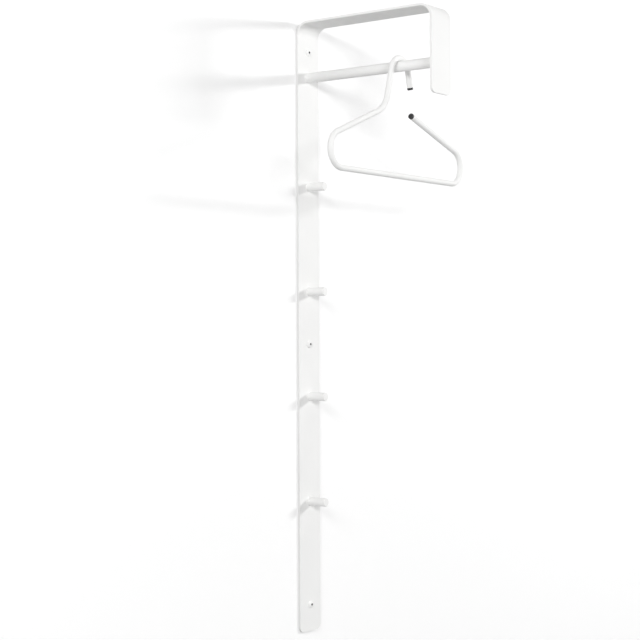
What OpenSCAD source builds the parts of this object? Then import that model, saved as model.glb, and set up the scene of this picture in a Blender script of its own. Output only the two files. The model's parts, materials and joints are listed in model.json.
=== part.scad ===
// Wall coat rack: one bent steel strip with a hanging rail, four pegs and a bent tube hanger.
// Millimetres. X runs along the wall, the room is towards -Y and Z points up.
// The origin is on the wall plane, at the axis of the top wall screw.

/* [Strip] */
// Overall height from the foot to the top face of the arm
strip_h = 1075; // [1000:1:1250]
// Depth from the wall to the front face of the flange
strip_d = 282; // [240:1:340]
// Width of the strip
strip_w = 60; // [50:1:80]
// Thickness of the plate
strip_t = 4; // [3.5:0.5:6]
// Drop of the front flange below the top face of the arm
flange_h = 150; // [125:1:180]
// Inside radius of the two bends
bend_r = 20; // [12:1:28]
// Radius of the corners at the foot and at the flange
corner_r = 11; // [5:1:20]

/* [Rail] */
// Outside diameter of the rail
rail_d = 18; // [16:1:22]
// Wall of the rail's tube
rail_wall = 1.5; // [1:0.25:2]
// Distance from the top face of the arm down to the rail's axis
rail_drop = 95.5; // [80:0.5:105]
// Length of the threaded insert in the rail's wall end
insert_len = 25; // [15:1:40]
// Length of the spigot that locates the rail inside the flange
spigot_len = 6; // [3:1:12]

/* [Pegs] */
// Diameter of a peg
peg_d = 15; // [12:0.5:20]
// Length of a peg in front of the strip
peg_len = 36; // [28:1:60]
// Distance from peg to peg
peg_pitch = 185.5; // [120:0.5:190]
// Depth of the threaded hole in a peg
peg_hole = 20; // [12:1:25]
// Chamfer round a peg's front end
peg_chamfer = 0.8; // [0.4:0.1:1.5]

/* [Wall screws] */
// Drop of the top wall screw below the top face of the arm
top_screw_drop = 50; // [45:1:70]
// Height of the middle wall screw above the foot
mid_screw_h = 507.5; // [450:0.5:540]
// Height of the bottom wall screw above the foot
low_screw_h = 47; // [30:1:70]
// Diameter of a wall screw's shank
wall_screw_d = 5; // [4:0.5:6]
// Length of a wall screw under its head
wall_screw_len = 50; // [45:1:70]
// Diameter of a wall screw's head
dome_d = 12; // [10:0.5:14]
// Height of the straight rim of a wall screw's head
dome_rim = 1.5; // [0.8:0.1:2]
// Height of a wall screw's whole head
dome_h = 3.5; // [3:0.1:5]
// Width of the hexagon sockets across their flats
socket_w = 4; // [3:0.5:5]
// Diameter of a wall plug
plug_d = 8; // [7:0.5:10]
// Length of a wall plug
plug_len = 40; // [30:1:42]
// Solid neck of a wall plug before it splits into legs
plug_neck = 14; // [8:1:20]
// Width of the splits between a wall plug's legs
plug_split = 0.8; // [0.6:0.1:1]

/* [Countersunk screws] */
// Diameter of the thread that holds the pegs and the rail
thread_d = 6; // [5:0.5:8]
// Diameter of a countersunk head
csk_d = 11.5; // [10:0.5:13]
// Length of a peg's screw, head and all
peg_screw_len = 20; // [16:1:22]
// Length of the rail's screw, head and all
rail_screw_len = 25; // [16:1:28]

/* [Hanger] */
// Diameter of the hanger's tube
tube_d = 10; // [9:0.5:13]
// Wall of the hanger's tube
tube_wall = 1.2; // [1:0.1:2]
// Distance from the flange's inside face back to the hanger
hanger_back = 79; // [40:1:120]
// Radius of the hook along the tube's axis
hook_r = 25.5; // [21:0.5:30]
// Straight tube behind the rail, before the hook bends over it
hook_tip = 28; // [15:1:40]
// Outward lean of the hook's tip in degrees
tip_lean = 14; // [0:1:20]
// Straight neck below the hook
neck_len = 48; // [40:0.5:70]
// Outward lean of the neck in degrees
neck_lean = 15.5; // [5:0.5:25]
// Bend radius between the neck and the left shoulder
neck_r = 49; // [30:1:55]
// Slope of the left shoulder in degrees
left_slope = 21.5; // [15:0.5:26]
// Straight length of the left shoulder
left_len = 124.5; // [110:0.5:150]
// Slope of the right shoulder in degrees
right_slope = 18.5; // [12:0.5:25]
// Straight length of the right shoulder
right_len = 147; // [110:0.5:160]
// Bend radius of the two lower corners
end_r = 30; // [20:1:36]
// Straight length of the bottom bar
bar_len = 337.5; // [300:0.5:400]
// How much thinner the tube's wall is on each side in its bends
bend_thin = 0.02; // [0.02:0.01:0.05]
// How far each straight run laps into its bends
bend_lap = 0.3; // [0.2:0.1:0.4]
// Length of the black end plugs outside the tube
cap_len = 4; // [2:0.5:6]
// Length of the end plugs' stems inside the tube
stem_len = 10; // [5:1:13]

/* [Clearances] */
// Radial gap round a screw's shank in its hole in the strip
hole_gap = 0.3; // [0.2:0.05:0.5]
// Radial gap between parts that are pushed or screwed into each other
seat_gap = 0.05; // [0.02:0.01:0.1]
// Depth of a countersunk head below the strip's back face
csk_sink = 0.2; // [0.1:0.1:0.5]
// Gap between the hook and the rail that carries it
rest_gap = 0.3; // [0.2:0.05:0.5]

/* [Hidden] */
$fn = 96;
cut = 1;

top_z = top_screw_drop;
foot_z = top_z - strip_h;
flange_z = top_z - flange_h;
rail_z = top_z - rail_drop;
rail_bore = rail_d - 2 * rail_wall;
rail_len = strip_d - 2 * strip_t;
screw_z = [0, foot_z + mid_screw_h, foot_z + low_screw_h];
peg_count = 4;
peg_z = [for (i = [0 : peg_count - 1]) screw_z[1] + ((peg_count - 1) / 2 - i) * peg_pitch];
csk_h = (csk_d - thread_d) / 2;
socket_depth = dome_h * 0.6;
tip_taper = 6;
hanger_y = -(strip_d - strip_t - hanger_back);
hook_z = rail_z + rail_d / 2 + rest_gap + tube_d / 2 - hook_r;

// The hanger's bends in turn: straight length, bend radius and turn, where a plus turns left
hanger_runs = [
    [hook_tip, hook_r, 180 - tip_lean - neck_lean],
    [neck_len, neck_r, left_slope + neck_lean - 90],
    [left_len, end_r, 180 - left_slope],
    [bar_len, end_r, 180 - right_slope],
    [right_len, 0, 0]];

// Puts children in front of the strip, pointing into the room from the wall plane
module from_wall(z) {
    translate([0, 0, z]) rotate([90, 0, 0]) children();
}

// Area under a flat top with two round corners, down to a lower edge
module arch_area(left, right, top, low, r) {
    translate([left, low]) square([right - left, top - r - low]);
    translate([left + r, low]) square([right - left - 2 * r, top - low]);
    for (x = [left + r, right - r]) translate([x, top - r]) circle(r);
}

// Side view of the bent strip: distance from the wall and height
module strip_side() {
    difference() {
        arch_area(0, strip_d, top_z, foot_z, bend_r + strip_t);
        arch_area(strip_t, strip_d - strip_t, top_z - strip_t, foot_z - cut, bend_r);
        translate([strip_t, foot_z - cut]) square([strip_d, flange_z - foot_z + cut]);
    }
}

// The two corner pieces that leave a round corner at a lower end, cut from y = 0 to a depth
module corner_waste(low, depth) {
    for (side = [-1, 1]) scale([side, 1, 1]) from_wall(low) translate([0, 0, -cut])
        linear_extrude(depth + 2 * cut) difference() {
            translate([strip_w / 2 - corner_r, -cut]) square([corner_r + cut, corner_r + cut]);
            translate([strip_w / 2 - corner_r, corner_r]) circle(corner_r);
        }
}

// Hole through the strip with a countersink in its back face
module csk_hole(z) {
    hole = thread_d + 2 * hole_gap;
    mouth = csk_d + 2 * hole_gap;
    from_wall(z) {
        translate([0, 0, -cut]) cylinder(h = strip_t + 2 * cut, d = hole);
        translate([0, 0, csk_sink]) cylinder(h = csk_h, d1 = mouth, d2 = hole);
        translate([0, 0, -cut]) cylinder(h = csk_sink + cut, d = mouth);
    }
}

module strip() {
    color("white") difference() {
        rotate([90, 0, -90]) linear_extrude(strip_w, center = true) strip_side();
        corner_waste(foot_z, strip_t);
        translate([0, strip_t - strip_d, 0]) corner_waste(flange_z, strip_t);
        for (z = screw_z) from_wall(z) translate([0, 0, -cut])
            cylinder(h = strip_t + 2 * cut, d = wall_screw_d + 2 * hole_gap);
        for (z = peg_z) csk_hole(z);
        csk_hole(rail_z);
    }
}

module rail_tube() {
    color("whitesmoke") from_wall(rail_z) translate([0, 0, strip_t]) difference() {
        cylinder(h = rail_len, d = rail_d);
        translate([0, 0, -cut]) cylinder(h = rail_len + 2 * cut, d = rail_bore);
    }
}

module rail_insert() {
    color("silver") from_wall(rail_z) translate([0, 0, strip_t]) difference() {
        cylinder(h = insert_len, d = rail_bore - 2 * seat_gap);
        translate([0, 0, -cut]) cylinder(h = insert_len + 2 * cut, d = thread_d);
    }
}

module rail_spigot() {
    spigot_d = rail_bore - 2 * seat_gap;
    lead = spigot_len / 4;
    color("white") from_wall(rail_z) translate([0, 0, strip_d - strip_t - spigot_len]) {
        cylinder(h = lead, d1 = spigot_d - 2 * lead, d2 = spigot_d);
        translate([0, 0, lead]) cylinder(h = spigot_len - lead, d = spigot_d);
    }
}

// Hexagon socket that opens towards -Z
module hex_socket(depth) {
    translate([0, 0, -cut]) cylinder(h = depth + cut, d = socket_w / cos(30), $fn = 6);
}

// Countersunk screw that holds a peg or the rail from behind the strip
module csk_screw(z, len) {
    shank_d = thread_d - 2 * seat_gap;
    color("silver") from_wall(z) translate([0, 0, csk_sink]) difference() {
        union() {
            cylinder(h = csk_h, d1 = csk_d, d2 = thread_d);
            translate([0, 0, csk_h]) cylinder(h = len - csk_h - 1, d = shank_d);
            translate([0, 0, len - 1]) cylinder(h = 1, d1 = shank_d, d2 = shank_d - 2);
        }
        hex_socket(csk_h * 0.8);
    }
}

module peg(i) {
    color("white") from_wall(peg_z[i - 1]) translate([0, 0, strip_t]) difference() {
        union() {
            cylinder(h = peg_len - peg_chamfer, d = peg_d);
            translate([0, 0, peg_len - peg_chamfer])
                cylinder(h = peg_chamfer, d1 = peg_d, d2 = peg_d - 2 * peg_chamfer);
        }
        translate([0, 0, -cut]) cylinder(h = peg_hole + cut, d = thread_d);
    }
}

module peg_screw(i) {
    csk_screw(peg_z[i - 1], peg_screw_len);
}

// Wall screw with a domed head on the strip's face and a point behind the wall
module wall_screw(i) {
    dome_rise = dome_h - dome_rim;
    dome_sphere = (pow(dome_d / 2, 2) + pow(dome_rise, 2)) / (2 * dome_rise);
    shank = wall_screw_len - tip_taper;
    color("white") translate([0, -strip_t, screw_z[i]]) {
        rotate([90, 0, 0]) difference() {
            union() {
                cylinder(h = dome_rim, d = dome_d);
                intersection() {
                    cylinder(h = dome_h, d = dome_d);
                    translate([0, 0, dome_h - dome_sphere]) sphere(dome_sphere);
                }
            }
            translate([0, 0, dome_h]) mirror([0, 0, 1]) hex_socket(socket_depth);
        }
        rotate([-90, 0, 0]) {
            cylinder(h = shank, d = wall_screw_d);
            translate([0, 0, shank]) cylinder(h = tip_taper, d1 = wall_screw_d, d2 = 0.5);
        }
    }
}

// Split wall plug round a wall screw's shank, flush with the wall
module wall_plug(i) {
    color("gray") translate([0, 0, screw_z[i]]) rotate([-90, 0, 0]) difference() {
        cylinder(h = plug_len, d = plug_d);
        translate([0, 0, -cut]) cylinder(h = plug_len + 2 * cut, d = wall_screw_d + 2 * seat_gap);
        for (a = [45, 135]) rotate([0, 0, a]) translate([-plug_d, -plug_split / 2, plug_neck])
            cube([2 * plug_d, plug_split, plug_len]);
    }
}

// Round tube wall as an area, drawn thinner by a skin on each side
module tube_ring(skin) {
    difference() {
        circle(d = tube_d - 2 * skin);
        circle(d = tube_d - 2 * tube_wall + 2 * skin);
    }
}

// Bend of tube that starts along +X and turns towards +Z
module tube_bend(r, turn) {
    translate([0, 0, r]) rotate([90, 0, 0]) rotate([0, 0, -90])
        rotate_extrude(angle = turn) translate([r, 0]) tube_ring(bend_thin);
}

// Moves children to the end of one bend, facing the way that it leaves
module past_bend(r, turn) {
    side = sign(turn);
    translate([r * sin(abs(turn)), 0, side * r * (1 - cos(turn))]) rotate([0, -turn, 0]) children();
}

// Bent tube that starts along +X, run by run, with children at its far end
module bent_tube(runs, i = 0, solid = true) {
    if (i < len(runs)) {
        straight = runs[i][0];
        r = runs[i][1];
        turn = runs[i][2];
        start = i == 0 ? 0 : bend_lap;
        end = i == len(runs) - 1 ? 0 : bend_lap;
        if (solid) translate([-start, 0, 0]) rotate([0, 90, 0])
            linear_extrude(start + straight + end) tube_ring(0);
        translate([straight, 0, 0]) {
            if (solid && turn > 0) tube_bend(r, turn);
            if (solid && turn < 0) mirror([0, 0, 1]) tube_bend(r, -turn);
            past_bend(r, turn) bent_tube(runs, i + 1, solid) children();
        }
    } else children();
}

// Puts children at the cut end of the hook's tip, facing along the tube
module at_hook_tip() {
    translate([0, hanger_y, hook_z]) rotate([0, -tip_lean, 0])
        translate([hook_r, 0, -hook_tip]) rotate([0, -90, 0]) children();
}

module hanger_tube() {
    color("whitesmoke") at_hook_tip() bent_tube(hanger_runs, $fn = 40);
}

// End plug with its stem along +X inside the tube and its cap outside
module end_plug() {
    edge = 0.6;
    color("black") rotate([0, 90, 0]) {
        cylinder(h = stem_len, d = tube_d - 2 * tube_wall - 2 * seat_gap);
        translate([0, 0, edge - cap_len]) cylinder(h = cap_len - edge, d = tube_d);
        translate([0, 0, -cap_len]) cylinder(h = edge, d1 = tube_d - 2 * edge, d2 = tube_d);
    }
}

module hook_plug() {
    at_hook_tip() end_plug();
}

module shoulder_plug() {
    at_hook_tip() bent_tube(hanger_runs, solid = false) mirror([1, 0, 0]) end_plug();
}

strip();
rail_tube();
rail_insert();
csk_screw(rail_z, rail_screw_len);  // rail_screw
rail_spigot();
peg(1);  // peg_1
peg(2);  // peg_2
peg(3);  // peg_3
peg(4);  // peg_4
peg_screw(1);  // peg_screw_1
peg_screw(2);  // peg_screw_2
peg_screw(3);  // peg_screw_3
peg_screw(4);  // peg_screw_4
wall_screw(0);  // wall_screw_top
wall_screw(1);  // wall_screw_middle
wall_screw(2);  // wall_screw_bottom
wall_plug(0);  // wall_plug_top
wall_plug(1);  // wall_plug_middle
wall_plug(2);  // wall_plug_bottom
hanger_tube();
hook_plug();
shoulder_plug();
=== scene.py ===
import json
import math

import bpy
from mathutils import Matrix, Vector


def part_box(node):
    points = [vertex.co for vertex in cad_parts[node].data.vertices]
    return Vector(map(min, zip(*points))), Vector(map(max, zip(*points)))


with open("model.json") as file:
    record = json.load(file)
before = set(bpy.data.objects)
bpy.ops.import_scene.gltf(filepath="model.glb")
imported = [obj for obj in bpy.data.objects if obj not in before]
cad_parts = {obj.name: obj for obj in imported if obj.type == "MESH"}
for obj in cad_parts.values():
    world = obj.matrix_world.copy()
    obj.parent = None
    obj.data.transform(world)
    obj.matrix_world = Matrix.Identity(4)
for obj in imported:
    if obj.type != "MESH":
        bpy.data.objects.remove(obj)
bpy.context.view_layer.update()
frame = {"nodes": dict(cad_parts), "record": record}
nodes = frame["nodes"]
scene = bpy.context.scene
print("rack loaded:", len(nodes), "solids")

noiseLow, noiseHigh = 0.25, 0.75  # most of a noise texture's values lie between these
mixBy, mixFrom, mixTo, mixed = 0, 6, 7, 2  # a Mix's colour sockets, by number: names there repeat


def hexColour(code):
    # sRGB hex to the linear values that the shaders work in
    linear = []
    for start in (1, 3, 5):
        level = int(code[start:start + 2], 16) / 255
        linear.append(level / 12.92 if level <= 0.04045 else ((level + 0.055) / 1.055) ** 2.4)
    return (*linear, 1.0)


def addNode(tree, kind, inputs=None, **settings):
    # one shader node with its settings, and for each input a value or another node's output
    node = tree.nodes.new(kind)
    for name, value in settings.items():
        setattr(node, name, value)
    for name, value in (inputs or {}).items():
        if isinstance(value, bpy.types.NodeSocket):
            tree.links.new(value, node.inputs[name])
        else:
            node.inputs[name].default_value = value
    return node


def perMetre(sizeMm):
    return 1000 / sizeMm  # a noise scale that gives features of that size, in object coordinates


def newMaterial(name):
    material = bpy.data.materials.new(name)
    material.use_nodes = True
    material.node_tree.nodes.clear()
    return material, material.node_tree


def finishWith(tree, inputs):
    # the shader and the output that each finish of the rack ends in
    shader = addNode(tree, "ShaderNodeBsdfPrincipled", inputs)
    addNode(tree, "ShaderNodeOutputMaterial", {"Surface": shader.outputs["BSDF"]})


# White polyester powder coat, baked on steel. To the eye it is a matt, faintly warm white with
# a soft orange peel, a fine tooth that breaks up the highlights, and wide greyer clouds where
# the coat is thinner. Detail and break are how fine and how ragged each pattern is.
coat = {
    "colour": "#F6F6F5", "thin": "#EDEDEC", "thinShare": 0.35, "ior": 1.5,
    "roughness": 0.66, "roughnessSpread": 0.07,
    "peelMm": 3.2, "peelDetail": 1.5, "peelDepthMm": 0.012,
    "grainMm": 0.7,  # the real grain is near 0.1 mm, drawn coarser here so that it shows
    "grainDetail": 3.0, "grainBreak": 0.6, "grainDepthMm": 0.006,
    "cloudMm": 90, "cloudDetail": 2.0, "cloudBreak": 0.45, "cloudLow": 0.3, "cloudHigh": 0.7,
}
# Inside a screw's socket the recess is painted near black, the colour kept under steel: painted shade that
# stands in for the shade falling in the deep recess. The mask is a short cylinder on the screw's axis that
# stops just under the dome's top.
socketShade = {"steel": "#202123", "radiusMm": 2.36, "belowMm": 7.2}


def socketShadeMask(tree, where, screwHeight):
    # 1 in a wall screw's socket, where the shade is painted, else 0
    flat = addNode(tree, "ShaderNodeVectorMath", {0: where, 1: (1, 0, 1)}, operation="MULTIPLY")
    off = addNode(tree, "ShaderNodeVectorMath", {0: flat.outputs["Vector"], 1: (0, 0, screwHeight)},
                  operation="DISTANCE")
    near = addNode(tree, "ShaderNodeMath", {0: off.outputs["Value"], 1: socketShade["radiusMm"] / 1000},
                   operation="LESS_THAN")
    depth = addNode(tree, "ShaderNodeSeparateXYZ", {0: where}).outputs["Y"]
    below = addNode(tree, "ShaderNodeMath", {0: depth, 1: -socketShade["belowMm"] / 1000},
                    operation="GREATER_THAN")
    return addNode(tree, "ShaderNodeMath", {0: near.outputs[0], 1: below.outputs[0]},
                   operation="MULTIPLY").outputs[0]


def powderCoat(name, screwHeight=None):
    material, tree = newMaterial(name)
    where = addNode(tree, "ShaderNodeTexCoord").outputs["Object"]
    clouds = addNode(tree, "ShaderNodeTexNoise", {
        "Vector": where, "Scale": perMetre(coat["cloudMm"]), "Detail": coat["cloudDetail"],
        "Roughness": coat["cloudBreak"]})
    thin = addNode(tree, "ShaderNodeMapRange", {
        "Value": clouds.outputs["Fac"], "From Min": coat["cloudLow"], "From Max": coat["cloudHigh"],
        "To Min": 0.0, "To Max": coat["thinShare"]})
    colour = addNode(tree, "ShaderNodeMix", {
        mixBy: thin.outputs["Result"], mixFrom: hexColour(coat["colour"]),
        mixTo: hexColour(coat["thin"])}, data_type="RGBA").outputs[mixed]
    if screwHeight is not None:
        # painted shade: the socket's recess is painted near black
        colour = addNode(tree, "ShaderNodeMix", {
            mixBy: socketShadeMask(tree, where, screwHeight), mixFrom: colour,
            mixTo: hexColour(socketShade["steel"])}, data_type="RGBA").outputs[mixed]
    grain = addNode(tree, "ShaderNodeTexNoise", {
        "Vector": where, "Scale": perMetre(coat["grainMm"]), "Detail": coat["grainDetail"],
        "Roughness": coat["grainBreak"]}).outputs["Fac"]
    rough = addNode(tree, "ShaderNodeMapRange", {
        "Value": grain, "From Min": noiseLow, "From Max": noiseHigh,
        "To Min": coat["roughness"] - coat["roughnessSpread"],
        "To Max": coat["roughness"] + coat["roughnessSpread"]})
    peel = addNode(tree, "ShaderNodeTexNoise", {
        "Vector": where, "Scale": perMetre(coat["peelMm"]), "Detail": coat["peelDetail"]})
    wavy = addNode(tree, "ShaderNodeBump", {
        "Height": peel.outputs["Fac"], "Strength": 1.0, "Distance": coat["peelDepthMm"] / 1000})
    tooth = addNode(tree, "ShaderNodeBump", {
        "Height": grain, "Normal": wavy.outputs["Normal"], "Strength": 1.0,
        "Distance": coat["grainDepthMm"] / 1000})
    finishWith(tree, {"Base Color": colour, "Roughness": rough.outputs["Result"], "IOR": coat["ior"],
                      "Normal": tooth.outputs["Normal"]})
    return material


# Injection moulded polyethylene of the end plugs: near black and waxy, with the fine grain of a
# spark-eroded mould
cap = {"dark": "#0C0C0D", "light": "#1B1B1D", "roughness": 0.45, "ior": 1.5,
       "grainMm": 0.5, "grainDetail": 2.0, "grainDepthMm": 0.03}


def blackPolyethylene():
    material, tree = newMaterial("polyethyleneBlack")
    where = addNode(tree, "ShaderNodeTexCoord").outputs["Object"]
    grain = addNode(tree, "ShaderNodeTexNoise", {
        "Vector": where, "Scale": perMetre(cap["grainMm"]), "Detail": cap["grainDetail"]}).outputs["Fac"]
    colour = addNode(tree, "ShaderNodeMix", {
        mixBy: grain, mixFrom: hexColour(cap["dark"]), mixTo: hexColour(cap["light"])}, data_type="RGBA")
    pitted = addNode(tree, "ShaderNodeBump", {
        "Height": grain, "Strength": 1.0, "Distance": cap["grainDepthMm"] / 1000})
    finishWith(tree, {"Base Color": colour.outputs[mixed], "Roughness": cap["roughness"],
                      "IOR": cap["ior"], "Normal": pitted.outputs["Normal"]})
    return material


# Bright zinc on cold-formed steel: a metal skin with faint blue and grey patches
zinc = {"dark": "#A9ADB1", "light": "#CDCFCE", "patchMm": 2.5, "patchDetail": 4.0,
        "smooth": 0.22, "rough": 0.42}


def zincPlate():
    material, tree = newMaterial("zincPlatedSteel")
    where = addNode(tree, "ShaderNodeTexCoord").outputs["Object"]
    patch = addNode(tree, "ShaderNodeTexNoise", {
        "Vector": where, "Scale": perMetre(zinc["patchMm"]), "Detail": zinc["patchDetail"]}).outputs["Fac"]
    colour = addNode(tree, "ShaderNodeMix", {
        mixBy: patch, mixFrom: hexColour(zinc["dark"]), mixTo: hexColour(zinc["light"])},
        data_type="RGBA")
    rough = addNode(tree, "ShaderNodeMapRange", {
        "Value": patch, "From Min": noiseLow, "From Max": noiseHigh,
        "To Min": zinc["smooth"], "To Max": zinc["rough"]})
    finishWith(tree, {"Base Color": colour.outputs[mixed], "Metallic": 1.0,
                      "Roughness": rough.outputs["Result"]})
    return material


# Moulded nylon of the wall plugs: pale grey and satin, with faint flow lines along its length
nylon = {"dark": "#8B8E90", "light": "#A3A6A7", "roughness": 0.48, "ior": 1.53,
         "lineMm": 1.6, "lineDetail": 3.0, "lineDepthMm": 0.04, "stretch": 8}


def greyNylon():
    material, tree = newMaterial("nylonGrey")
    where = addNode(tree, "ShaderNodeTexCoord").outputs["Object"]
    flow = addNode(tree, "ShaderNodeMapping", {"Vector": where, "Scale": (1.0, 1 / nylon["stretch"], 1.0)})
    lines = addNode(tree, "ShaderNodeTexNoise", {
        "Vector": flow.outputs["Vector"], "Scale": perMetre(nylon["lineMm"]),
        "Detail": nylon["lineDetail"]}).outputs["Fac"]
    colour = addNode(tree, "ShaderNodeMix", {
        mixBy: lines, mixFrom: hexColour(nylon["dark"]), mixTo: hexColour(nylon["light"])},
        data_type="RGBA")
    ridged = addNode(tree, "ShaderNodeBump", {
        "Height": lines, "Strength": 1.0, "Distance": nylon["lineDepthMm"] / 1000})
    finishWith(tree, {"Base Color": colour.outputs[mixed], "Roughness": nylon["roughness"],
                      "IOR": nylon["ior"], "Normal": ridged.outputs["Normal"]})
    return material


def axisHeight(node):
    low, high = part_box(node)
    return (low.z + high.z) / 2


finishes = {
    "white_coat": powderCoat("powderCoatWhite"),
    "zinc_steel": zincPlate(),
    "plug_plastic": greyNylon(),
    "cap_plastic": blackPolyethylene(),
}
wallScrews = [name for name in nodes if name.startswith("wall_screw")]
slotOf = {part["node"]: part["material_slot"] for part in frame["record"]["subparts"]}
for name, solid in nodes.items():
    finish = finishes[slotOf[name]]
    if name in wallScrews:
        finish = powderCoat("powderCoatHead_" + name.split("_")[-1], axisHeight(name))
    solid.data.materials.clear()
    solid.data.materials.append(finish)
print("finishes set")

# Edge radii in mm: the strip's cut edges under the coat, the turned edges of the rail and pegs,
# and the screws' heads. Edges that turn by more than so many degrees get one.
arris = {"strip": 0.7, "turned": 0.3, "head": 0.2, "sharperThan": 35,
         "stripSegments": 3, "segments": 2, "weldMm": 0.01}
edgeRadius = {"strip": arris["strip"], "rail_tube": arris["turned"]}
edgeRadius.update({f"peg_{i}": arris["turned"] for i in range(1, 5)})
edgeRadius.update({name: arris["head"] for name in wallScrews})
for name, radius in edgeRadius.items():
    weld = nodes[name].modifiers.new("weldSeams", "WELD")
    weld.merge_threshold = arris["weldMm"] / 1000
    bevel = nodes[name].modifiers.new("softArris", "BEVEL")
    bevel.width = radius / 1000
    bevel.segments = arris["stripSegments"] if name == "strip" else arris["segments"]
    bevel.limit_method = "ANGLE"
    bevel.angle_limit = math.radians(arris["sharperThan"])
    bevel.harden_normals = True
print("edges softened")

# The stage, in metres: a pale wall that carries the rack, just behind it, and a pale floor below
room = {
    "wall": "#F3F3F3", "wallBounce": "#BCBCBC", "floor": "#E4E4E4", "floorBounce": "#C8C8C8",
    "wallLift": 0.17, "floorLift": 0.42,  # what the camera adds to the paint, for a pale background
    "floorZ": -1.7, "reach": 6.0, "top": 3.0, "wallGap": 0.0003,
    "passUnder": 0.001,  # rays shorter than this go through
}


def seenRay(tree):
    # 1 for the rays by which the camera, metal or glass sees a background, else 0
    path = addNode(tree, "ShaderNodeLightPath").outputs
    mirrored = addNode(tree, "ShaderNodeMath", {0: path["Is Glossy Ray"], 1: path["Is Transmission Ray"]},
                       operation="MAXIMUM")
    return addNode(tree, "ShaderNodeMath", {0: path["Is Camera Ray"], 1: mirrored.outputs[0]},
                   operation="MAXIMUM").outputs[0]


def passingRay(tree):
    # 1 for the rays that the wall and the floor let through: those from behind, the lamps' own,
    # and those that set out from the rack's back and meet the wall at once
    path = addNode(tree, "ShaderNodeLightPath").outputs
    side = addNode(tree, "ShaderNodeNewGeometry").outputs
    through = addNode(tree, "ShaderNodeMath", {0: side["Backfacing"], 1: path["Is Shadow Ray"]},
                      operation="MAXIMUM")
    close = addNode(tree, "ShaderNodeMath", {0: path["Ray Length"], 1: room["passUnder"]},
                    operation="LESS_THAN")
    return addNode(tree, "ShaderNodeMath", {0: through.outputs[0], 1: close.outputs[0]},
                   operation="MAXIMUM").outputs[0]


def mattPaint(name, colour, bounce, lift):
    # Matt emulsion: near white to the camera, greyer to the light that it throws back
    material, tree = newMaterial(name)
    paint = addNode(tree, "ShaderNodeBsdfDiffuse", {"Color": hexColour(colour)})
    glow = addNode(tree, "ShaderNodeEmission", {"Strength": lift})
    bright = addNode(tree, "ShaderNodeAddShader", {0: paint.outputs[0], 1: glow.outputs[0]})
    dull = addNode(tree, "ShaderNodeBsdfDiffuse", {"Color": hexColour(bounce)})
    face = addNode(tree, "ShaderNodeMixShader", {0: seenRay(tree), 1: dull.outputs[0], 2: bright.outputs[0]})
    clear = addNode(tree, "ShaderNodeBsdfTransparent")
    both = addNode(tree, "ShaderNodeMixShader", {
        0: passingRay(tree), 1: face.outputs[0], 2: clear.outputs[0]})
    addNode(tree, "ShaderNodeOutputMaterial", {"Surface": both.outputs[0]})
    return material


def stagePlane(name, corners, material):
    mesh = bpy.data.meshes.new(name)
    mesh.from_pydata(corners, [], [(0, 1, 2, 3)])
    mesh.materials.append(material)
    plane = bpy.data.objects.new(name, mesh)
    scene.collection.objects.link(plane)


reach, top, floorZ, wallY = room["reach"], room["top"], room["floorZ"], room["wallGap"]
stagePlane("wallPlane",
           [(-reach, wallY, floorZ), (reach, wallY, floorZ), (reach, wallY, top), (-reach, wallY, top)],
           mattPaint("emulsionWall", room["wall"], room["wallBounce"], room["wallLift"]))
stagePlane("floorPlane",
           [(-reach, -reach, floorZ), (reach, -reach, floorZ), (reach, wallY, floorZ),
            (-reach, wallY, floorZ)],
           mattPaint("paleFloor", room["floor"], room["floorBounce"], room["floorLift"]))

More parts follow.
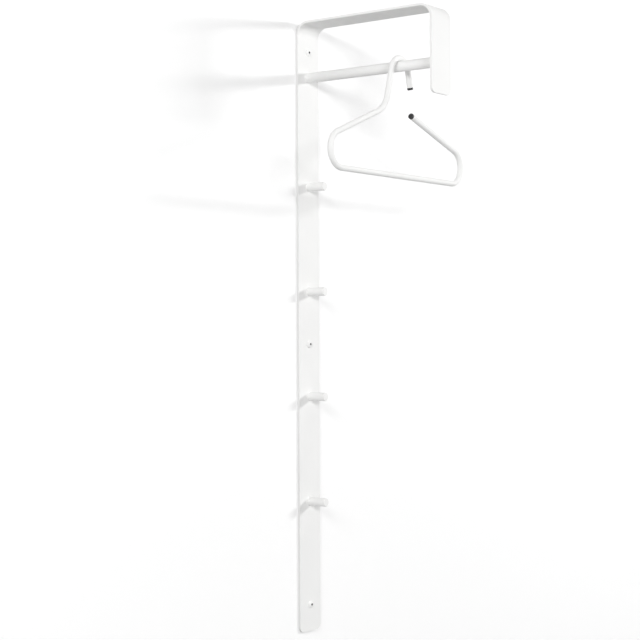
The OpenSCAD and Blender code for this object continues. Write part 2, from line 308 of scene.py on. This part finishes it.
# A near key on the right that draws the pegs' crisp shadows, a wide soft box on the left, a faint
# ceiling light, and a lamp far to the left for the rail's side. The key and the soft box are wide
# and low, so that level bars draw thin shadows on the wall and upright ones hardly any.
lamps = {
    "keyRight": {"place": (2.64, -2.5, 0.42), "aim": (0, -0.1, -0.45), "size": (1.1, 0.25), "watts": 55},
    "softLeft": {"place": (-2.6, -4.0, 0.35), "aim": (0, -0.1, -0.4), "size": (1.3, 0.35), "watts": 49},
    "ceiling": {"place": (0, -2.2, 3.2), "aim": (0, -0.1, -0.3), "size": (3.0, 2.0), "watts": 8},
    "farLeft": {"place": (-3.6, -1.5, 0.9), "aim": (0, -0.15, 0), "size": (1.4, 1.0), "watts": 62},
}
for name, lamp in lamps.items():
    panel = bpy.data.lights.new(name, "AREA")
    panel.shape = "RECTANGLE"
    panel.size, panel.size_y = lamp["size"]
    panel.energy = lamp["watts"]
    light = bpy.data.objects.new(name, panel)
    scene.collection.objects.link(light)
    light.location = lamp["place"]
    aim = Vector(lamp["aim"]) - Vector(lamp["place"])
    light.rotation_euler = aim.to_track_quat("-Z", "Y").to_euler()

# The air round the rack: white where it is seen, and a softer light on the rack
air = {"colour": "#FFFFFF", "seen": 1.0, "onRack": 0.31}
world = bpy.data.worlds.new("studioAir")
scene.world = world
world.use_nodes = True
sky = world.node_tree
sky.nodes.clear()
soft = addNode(sky, "ShaderNodeBackground", {"Color": hexColour(air["colour"]), "Strength": air["onRack"]})
white = addNode(sky, "ShaderNodeBackground", {"Color": hexColour(air["colour"]), "Strength": air["seen"]})
mixedAir = addNode(sky, "ShaderNodeMixShader", {0: seenRay(sky), 1: soft.outputs[0], 2: white.outputs[0]})
addNode(sky, "ShaderNodeOutputWorld", {"Surface": mixedAir.outputs[0]})
scene.view_settings.view_transform = "Standard"
print("stage and lamps ready")

# The camera of the photo, fitted to the strip, the rail, the pegs and the screws. Its place is in
# metres, its lens and sensor in mm and its turns in degrees: yaw from +Y towards +X, pitch
# upwards, roll about the line of sight.
view = {"place": (-2.1759, -1.6333, -0.5003), "yaw": 53.576, "pitch": 0.539, "roll": -0.277,
        "lens": 86.22, "sensor": 36}
yaw, pitch, roll = (math.radians(view[turn]) for turn in ("yaw", "pitch", "roll"))
forward = Vector((math.sin(yaw) * math.cos(pitch), math.cos(yaw) * math.cos(pitch), math.sin(pitch)))
level = Vector((math.cos(yaw), -math.sin(yaw), 0))
upright = level.cross(forward)
right = level * math.cos(roll) + upright * math.sin(roll)
up = upright * math.cos(roll) - level * math.sin(roll)
lens = bpy.data.cameras.new("photoView")
lens.lens = view["lens"]
lens.sensor_width = view["sensor"]
camera = bpy.data.objects.new("photoView", lens)
scene.collection.objects.link(camera)
camera.matrix_world = Matrix((right, up, -forward)).transposed().to_4x4()
camera.location = view["place"]
scene.camera = camera
print("camera set")
